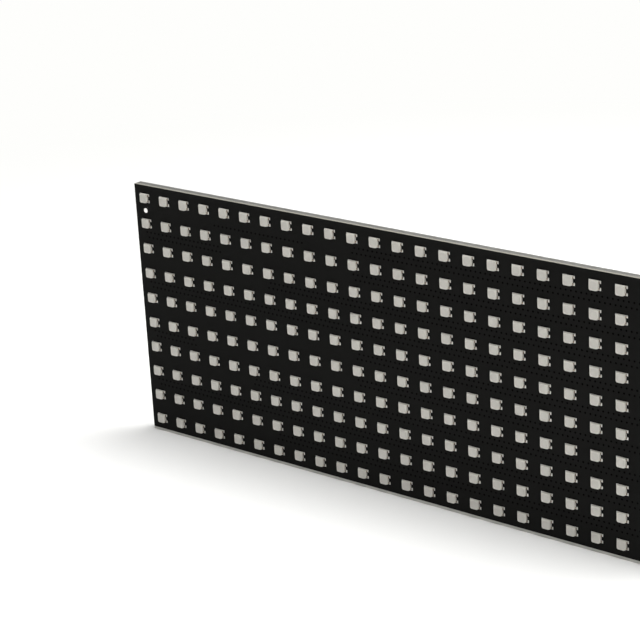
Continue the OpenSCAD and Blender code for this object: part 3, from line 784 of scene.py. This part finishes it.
# The blocks under each row of LEDs, from the top row down: first and last column of each. The
# second line under the top row has one block more.
top_row_extra = [(3.5, 8)]
blocks = [
    [(10, board_end)], [(0, 4), (10, board_end)], [(6, board_end)], [(0, board_end)], [(10, board_end)],
    [(0, 2.3), (10, board_end)], [(5, board_end)], [(0, board_end)], [(6, board_end - 1.5)],
]
points, faces = [], []
for row, row_blocks in enumerate(blocks):
    low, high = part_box(on_rows("housings")[row])
    for line, drop in enumerate(line_drops):
        z = (low[2] + high[2]) / 2 / mm - drop
        stagger = via_shift + (via_step / 2 if (row + line) % 2 == 0 else 0.0)
        extra = top_row_extra if (row, line) == (0, 1) else []
        for first_column, last_column in row_blocks + extra:
            for k in range(int((last_column - first_column) * led_pitch / via_step)):
                x = first_x + first_column * led_pitch + stagger + k * via_step
                outline = [(x + via_r * math.cos(a), z + via_r * math.sin(a)) for a in via_turns]
                plate(points, faces, outline, board_front / mm - via_film, board_back + via_film)
finished_piece("plated_vias", points, faces, "black_solder_mask", hollow)


# ---------------------------------------------------------------- printed outlines
# White ink is screen printed round every part of the back, with a short bar at the end where
# each chip's first lead stands. The ink is matt, thin and a little uneven.
points, faces = [], []
low, high = board_back - 0.01, board_back + 0.03
stroke, clearance, header_room = 0.16, 0.5, 3.2


def printed_frame(x0, x1, z0, z1):
    """A printed rectangle round these limits, whose four sides are separate strokes."""
    x0, x1, z0, z1 = x0 - clearance, x1 + clearance, z0 - clearance, z1 + clearance
    for a, b in (((x0, z0), (x1, z0)), ((x1, z0), (x1, z1)), ((x1, z1), (x0, z1)), ((x0, z1), (x0, z0))):
        ribbon(points, faces, [a, b], stroke, low, high)


for name in ("driver_chips", "logic_chips"):
    for (x0, x1), _, (z0, z1) in loose_boxes(name):
        for x in (x0 - 0.45, x1 + 0.45):
            ribbon(points, faces, [(x, z0), (x, z1)], stroke, low, high)
        ribbon(points, faces, [(x1 + 0.8, z0), (x1 + 0.8, z0 + (z1 - z0) * 0.3)], 0.3, low, high)
for name in ("data_in_block", "data_out_block"):
    (x0, x1), _, (z0, z1) = loose_boxes(name)[0]
    for z in (z0 - clearance, z1 + clearance):
        ribbon(points, faces, [(x0 - header_room, z), (x1 + header_room, z)], stroke, low, high)
for (x0, x1), _, (z0, z1) in loose_boxes("capacitor_bases") + loose_boxes("power_terminal")[:1]:
    printed_frame(x0, x1, z0, z1)
# The screen's mesh leaves the ink thin in specks 0.4 mm across.
ink, tree, shader = surface("screen_printed_white_ink", Roughness=0.7, Specular_IOR_Level=0.3)
at = add(tree, "ShaderNodeTexCoord").outputs["Object"]
thin = add(tree, "ShaderNodeTexNoise", {"Vector": at, "Scale": 1000 / 0.4, "Detail": 3.0})
tone = add(tree, "ShaderNodeMix", {
    "Factor": thin.outputs["Fac"], "A": linear("#BDBDB9"), "B": linear("#E6E6E2"),
}, data_type="RGBA")
tree.links.new(tone.outputs["Result"], shader.inputs["Base Color"])
finished_piece("printed_outlines", points, faces, "black_solder_mask", ink)


# ---------------------------------------------------------------- chips
# Drivers and logic chips are moulded in black epoxy with fine silica in it, which leaves a dull
# speckled skin. Their tinned leads stand in small fillets of bright solder.
def moulding(name, dark, light, grain, polished, dull, lump):
    """A moulded surface with a fine grain, this many millimetres wide, in its colour, gloss and skin."""
    finish, tree, shader = surface(name)
    at = add(tree, "ShaderNodeTexCoord").outputs["Object"]
    speck = add(tree, "ShaderNodeTexNoise", {"Vector": at, "Scale": 1000 / grain, "Detail": 3.0})
    tone = add(tree, "ShaderNodeMix", {
        "Factor": speck.outputs["Fac"], "A": linear(dark), "B": linear(light),
    }, data_type="RGBA")
    tree.links.new(tone.outputs["Result"], shader.inputs["Base Color"])
    gloss = add(tree, "ShaderNodeMapRange", {
        "Value": speck.outputs["Fac"], "To Min": polished, "To Max": dull,
    })
    tree.links.new(gloss.outputs["Result"], shader.inputs["Roughness"])
    skin = add(tree, "ShaderNodeBump", {
        "Height": speck.outputs["Fac"], "Strength": lump, "Distance": 0.00003,
    })
    tree.links.new(skin.outputs["Normal"], shader.inputs["Normal"])
    return finish


def bead(points, faces, pairs):
    """A closed bead of solder, or a strip that lies in it: pairs of corners along its top, and last
    the two pairs that it stands on."""
    start, n = len(points), 2 * len(pairs) - 4
    points.extend(corner for pair in pairs for corner in pair)
    sides = [list(range(0, n, 2)) + [n + 2, n], [1, n + 1, n + 3] + list(range(n - 1, 1, -2))]
    ends = [(n, n + 1, n + 3, n + 2), (n - 2, n - 1, n + 3, n + 2), (0, 1, n + 1, n)]
    top = [(i, i + 1, i + 3, i + 2) for i in range(0, n - 2, 2)]
    faces.extend(tuple(start + i for i in face) for face in sides + ends + top)


# Silica grains are some 0.05 mm across, drawn at 0.3 mm so that they show.
epoxy = moulding("silica_filled_epoxy", "#17171A", "#242427", 0.3, 0.5, 0.72, 0.4)
dress(epoxy, "driver_chips", "logic_chips")

# Solder at one lead: way past its tip, rise, and margin at its sides. The last two are the foot.
lead_solder = (
    (-0.5, 0.02, 0.05), (0.0, 0.2, 0.05), (0.12, 0.1, 0.05), (0.4, 0.03, 0.05),
    (-0.5, 0.0, 0.09), (0.4, 0.0, 0.09),
)
points, faces = [], []
for name in ("driver_chip_leads", "logic_chip_leads"):
    leads_here = loose_boxes(name)
    centre = sum(b[2][0] + b[2][1] for b in leads_here) / 2 / len(leads_here)
    for (x0, x1), _, (z0, z1) in leads_here:
        way = 1 if z0 + z1 > 2 * centre else -1
        tip = z1 if way > 0 else z0
        pairs = []
        for past, rise, margin in lead_solder:
            y, z = board_back + rise, tip + way * past
            pairs.append([(x0 - margin, y, z), (x1 + margin, y, z)])
        bead(points, faces, pairs)
finished_piece("chip_lead_solder", points, faces, "lead_strip", tin, smooth=True)


# ---------------------------------------------------------------- data headers
# Two rows of square brass pins with a thin gold flash stand in a black glass-filled block. Each
# pin is pointed at its free end, and bent outwards below the block into a soldered foot.
# The glass fibres leave the black skin satin, with a grain that is drawn 1.4 mm wide so that it shows.
fibre_filled = moulding("glass_filled_polyamide", "#131314", "#1F1F20", 1.4, 0.36, 0.52, 0.25)
dress(fibre_filled, "data_in_block", "data_out_block", "capacitor_bases")
flash = bright_metal("gold_flash_on_brass", "#C9A04A", "#DDBB6C", 0.14, 0.26)
for name in ("data_in_pins", "data_out_pins"):
    points, faces = [], []
    boxes = loose_boxes(name)
    middle = sum(b[0][0] + b[0][1] for b in boxes) / 2 / len(boxes)
    for (x0, x1), (y0, y1), (z0, z1) in boxes:
        way = 1 if x0 + x1 > 2 * middle else -1
        stem, foot_end = (x0, x1) if way > 0 else (x1, x0)
        w = z1 - z0
        taper, tip = w * 0.28, y1 - 0.5
        # Side of one pin: up its stem, over its point, down to its foot and round the bend.
        side = [(stem, tip), (stem + way * taper, y1), (stem + way * (w - taper), y1)]
        side += [(stem + way * w, tip), (stem + way * w, y0 + w), (foot_end, y0 + w), (foot_end, y0)]
        for a in (1.57, 1.05, 0.52, 0.0):
            side.append((stem + way * w * (1 - math.cos(a)) * 0.5, y0 + w * 0.5 * (1 - math.sin(a))))
        prism(points, faces, *(
            [(x, y, z + (lean if y == y1 else 0.0)) for x, y in side]
            for z, lean in ((z0, taper), (z1, -taper))
        ))
    finished_piece("flashed_" + name, points, faces, "gilt_brass", flash, stands_for=name)


# ---------------------------------------------------------------- power terminal
# A two-pole screw terminal in green polyamide. A steel cage waits behind each wire opening, and
# the feet are soldered flat to the board.
# Moulded green polyamide has a satin skin with a grain drawn 1.1 mm wide.
dress(moulding("green_polyamide", "#1E5C38", "#26704A", 1.1, 0.32, 0.46, 0.15), "power_terminal")
points, faces = [], []
(x0, x1), (y0, y1), (z0, z1) = loose_boxes("power_terminal")[0]
pole = (x1 - x0) / 4
jaw_half_w, jaw_t = 1.3, 0.35
for side in (-1, 1):
    middle = (x0 + x1) / 2 + side * pole
    left, right = middle - jaw_half_w, middle + jaw_half_w
    for level in (y0 + 2.6, y0 + 3.9):
        jaw = [(left, level), (right, level), (right, level + jaw_t), (left, level + jaw_t)]
        prism(points, faces, *([(x, y, z) for x, y in jaw] for z in (z0 + 0.7, z0 + 3.6)))
finished_piece("wire_cages", points, faces, "plated_steel", zinc)


# ---------------------------------------------------------------- storage capacitors
# Drawn aluminium cans on black bases. The negative side of each top is printed black, and two
# tinned tabs come out from under the base onto the board.
# The die draws faint lines up the can, some 1 mm apart and 25 mm long.
drawn_can = drawn_metal("drawn_can_aluminium", "#BFC0C1", "#D2D3D4", (1.1, 25, 1.1), 0.26, 0.38)
dress(drawn_can, "capacitor_cans")
# One tab: way out from the can's middle, rise, and half its width. The last two are its foot.
tab_steps = (
    (2.5, 0.3, 0.45), (4.6, 0.3, 0.45), (4.75, 0.1, 0.45), (5.1, 0.02, 0.45),
    (2.5, 0.0, 0.5), (5.1, 0.0, 0.5),
)
points, faces = [], []
tab_points, tab_faces = [], []
for (x0, x1), (y0, y1), (z0, z1) in loose_boxes("capacitor_cans"):
    cx, cz, r = (x0 + x1) / 2, (z0 + z1) / 2, (x1 - x0) / 2 - 0.55
    arc = [math.radians(20 + 7 * i) for i in range(21)]
    mark = [(cx + r * math.cos(a), cz + r * math.sin(a)) for a in arc]
    plate(points, faces, mark, y1 - 0.005, y1 + 0.015)
    for way in (-1, 1):
        pairs = []
        for away, rise, half_w in tab_steps:
            y, z = board_back + rise, cz + way * away
            pairs.append([(cx - half_w, y, z), (cx + half_w, y, z)])
        bead(tab_points, tab_faces, pairs)
marking = moulding("black_marking_ink", "#0E0E10", "#17171A", 0.67, 0.4, 0.55, 0.1)
finished_piece("can_polarity_marks", points, faces, "can_aluminium", marking)
finished_piece("can_tabs", tab_points, tab_faces, "tinned_copper", tin)


# ---------------------------------------------------------------- chip capacitors and resistors
# Small fired ceramic blocks. Their tinned end caps wrap round both ends and stand in solder, and
# a resistor carries a dark glaze on its back.
def soft_block(points, faces, x, y, z, edge):
    """A block between the limits of each axis, with all its edges cut by a small chamfer."""
    start = len(points)
    corners = [(a, b, c) for a in (0, 1) for b in (0, 1) for c in (0, 1)]
    for a, b, c in corners:
        inner = [axis[side] + (edge if side == 0 else -edge) for axis, side in ((x, a), (y, b), (z, c))]
        outer = (x[a], y[b], z[c])
        for keep in range(3):
            points.append(tuple(outer[i] if i == keep else inner[i] for i in range(3)))
    index = {corner: start + 3 * i for i, corner in enumerate(corners)}
    for keep in range(3):
        u, v = [i for i in range(3) if i != keep]
        for side in (0, 1):
            loop = []
            for su, sv in ((0, 0), (1, 0), (1, 1), (0, 1)):
                corner = [0, 0, 0]
                corner[keep], corner[u], corner[v] = side, su, sv
                loop.append(index[tuple(corner)] + keep)
            faces.append(tuple(loop))
        for su in (0, 1):
            for sv in (0, 1):
                a, b = [0, 0, 0], [0, 0, 0]
                a[u], a[v], a[keep] = su, sv, 0
                b[u], b[v], b[keep] = su, sv, 1
                a, b = index[tuple(a)], index[tuple(b)]
                faces.append((a + u, a + v, b + v, b + u))
    for corner in corners:
        faces.append((index[corner], index[corner] + 1, index[corner] + 2))


# The fired ceramic is a dull brown with specks drawn 0.55 mm wide so that they show, and the
# resistors' glaze is black and shiny.
fired = moulding("fired_brown_ceramic", "#84694C", "#9A7D5C", 0.55, 0.4, 0.55, 0.2)
glazed = moulding("black_resistor_glaze", "#121214", "#1C1C1F", 0.67, 0.22, 0.34, 0.1)
# Solder at one end: way past it, rise, and inset at its sides. The last two are the foot.
cap_solder = (
    (-0.05, 0.34, 0.05), (0.1, 0.14, 0.05), (0.34, 0.02, 0.05), (-0.05, 0.0, 0.0), (0.36, 0.0, 0.0),
)
for name, slot, body_finish in (
    ("bypass_capacitors", "fired_ceramic", fired), ("set_resistors", "resistor_ceramic", glazed),
):
    points, faces, finish_of = [], [], []
    # A body and its two end caps are put together again where they come as separate solids.
    whole = []
    for box in loose_boxes(name):
        if whole and box[0][0] - whole[-1][0][1] < 0.05 and abs(box[2][0] - whole[-1][2][0]) < 0.1:
            whole[-1] = tuple((min(a[0], b[0]), max(a[1], b[1])) for a, b in zip(whole[-1], box))
        else:
            whole.append(box)
    for (x0, x1), (y0, y1), (z0, z1) in whole:
        cap = (x1 - x0) / 5
        body = (x0 + cap * 0.6, x1 - cap * 0.6), (y0 + 0.03, y1 - 0.03), (z0 + 0.03, z1 - 0.03)
        soft_block(points, faces, *body, 0.04)
        finish_of.extend([0] * (len(faces) - len(finish_of)))
        for a, b in ((x0, x0 + cap), (x1 - cap, x1)):
            soft_block(points, faces, (a, b), (y0, y1), (z0, z1), 0.07)
        for end, way in ((x0, -1), (x1, 1)):
            pairs = []
            for reach, rise, inset in cap_solder:
                x, y = end + way * reach, y0 + rise
                pairs.append([(x, y, z0 + inset), (x, y, z1 - inset)])
            bead(points, faces, pairs)
        finish_of.extend([1] * (len(faces) - len(finish_of)))
    piece = finished_piece("soldered_" + name, points, faces, slot, body_finish, tin, stands_for=name)
    piece.data.polygons.foreach_set("material_index", finish_of)
